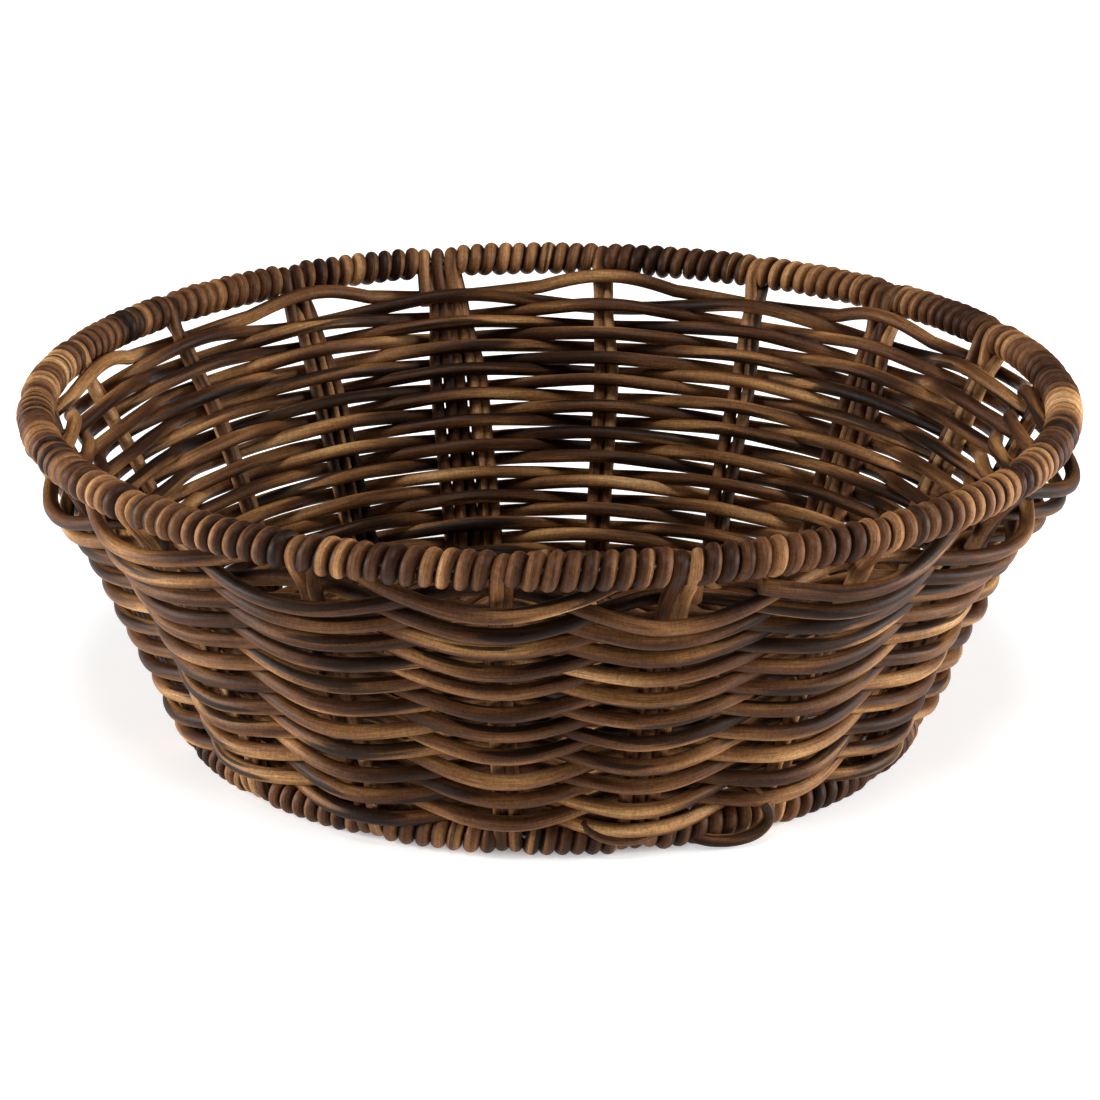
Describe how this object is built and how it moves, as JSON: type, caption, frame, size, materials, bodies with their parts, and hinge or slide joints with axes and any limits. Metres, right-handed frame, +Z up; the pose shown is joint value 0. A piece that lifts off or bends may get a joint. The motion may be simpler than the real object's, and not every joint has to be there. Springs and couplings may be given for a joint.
{
  "type": "woven fruit basket",
  "caption": "Round flared bowl basket woven from mottled cane over stake bundles, with a wrapped rim hoop and a wrapped foot hoop; holds fruit on a table.",
  "frame": {"origin": "bottom centre, on the plane that the foot hoop rests on, under the middle of the rim", "axes": "+Z up through the open top; the first stake stands a little to the -X side of -Y, which is the front"},
  "size_m": [0.32, 0.32, 0.107],
  "materials": {
    "rim_cane": "satin, mottled golden tan to dark brown",
    "foot_cane": "satin, mottled brown",
    "stake_cane": "satin, dark brown with tan runs",
    "wall_cane": "satin, mottled brown with near-black patches and golden runs",
    "base_cane": "satin, mottled brown",
    "hoop_wire": "drawn steel wire, hidden under the binding"
  },
  "bodies": {
    "root": {"rim_wire": "hoop_wire", "rim_binding": "rim_cane", "foot_wire": "hoop_wire", "foot_binding": "foot_cane", "foot_tails": "foot_cane", "stake_01": "stake_cane", "stake_02": "stake_cane", "stake_03": "stake_cane", "stake_04": "stake_cane", "stake_05": "stake_cane", "stake_06": "stake_cane", "stake_07": "stake_cane", "stake_08": "stake_cane", "stake_09": "stake_cane", "stake_10": "stake_cane", "stake_11": "stake_cane", "stake_12": "stake_cane", "stake_13": "stake_cane", "stake_14": "stake_cane", "stake_15": "stake_cane", "stake_16": "stake_cane", "stake_17": "stake_cane", "stake_18": "stake_cane", "wall_row_01": "wall_cane", "wall_row_02": "wall_cane", "wall_row_03": "wall_cane", "wall_row_04": "wall_cane", "wall_row_05": "wall_cane", "wall_row_06": "wall_cane", "wall_row_07": "wall_cane", "wall_row_08": "wall_cane", "wall_row_09": "wall_cane", "wall_row_10": "wall_cane", "wall_row_11": "wall_cane", "wall_row_12": "wall_cane", "wall_row_13": "wall_cane", "wall_row_14": "wall_cane", "wall_row_15": "wall_cane", "wall_row_16": "wall_cane", "wall_row_17": "wall_cane", "wall_row_18": "wall_cane", "wall_row_19": "wall_cane", "wall_row_20": "wall_cane", "wall_row_21": "wall_cane", "wall_row_22": "wall_cane", "base_stick_1": "base_cane", "base_stick_2": "base_cane", "base_stick_3": "base_cane", "base_stick_4": "base_cane", "base_stick_5": "base_cane", "base_stick_6": "base_cane", "base_stick_7": "base_cane", "base_stick_8": "base_cane", "base_stick_9": "base_cane", "base_weave_1": "base_cane", "base_weave_2": "base_cane", "base_weave_3": "base_cane", "base_weave_4": "base_cane"}
  },
  "joints": []
}
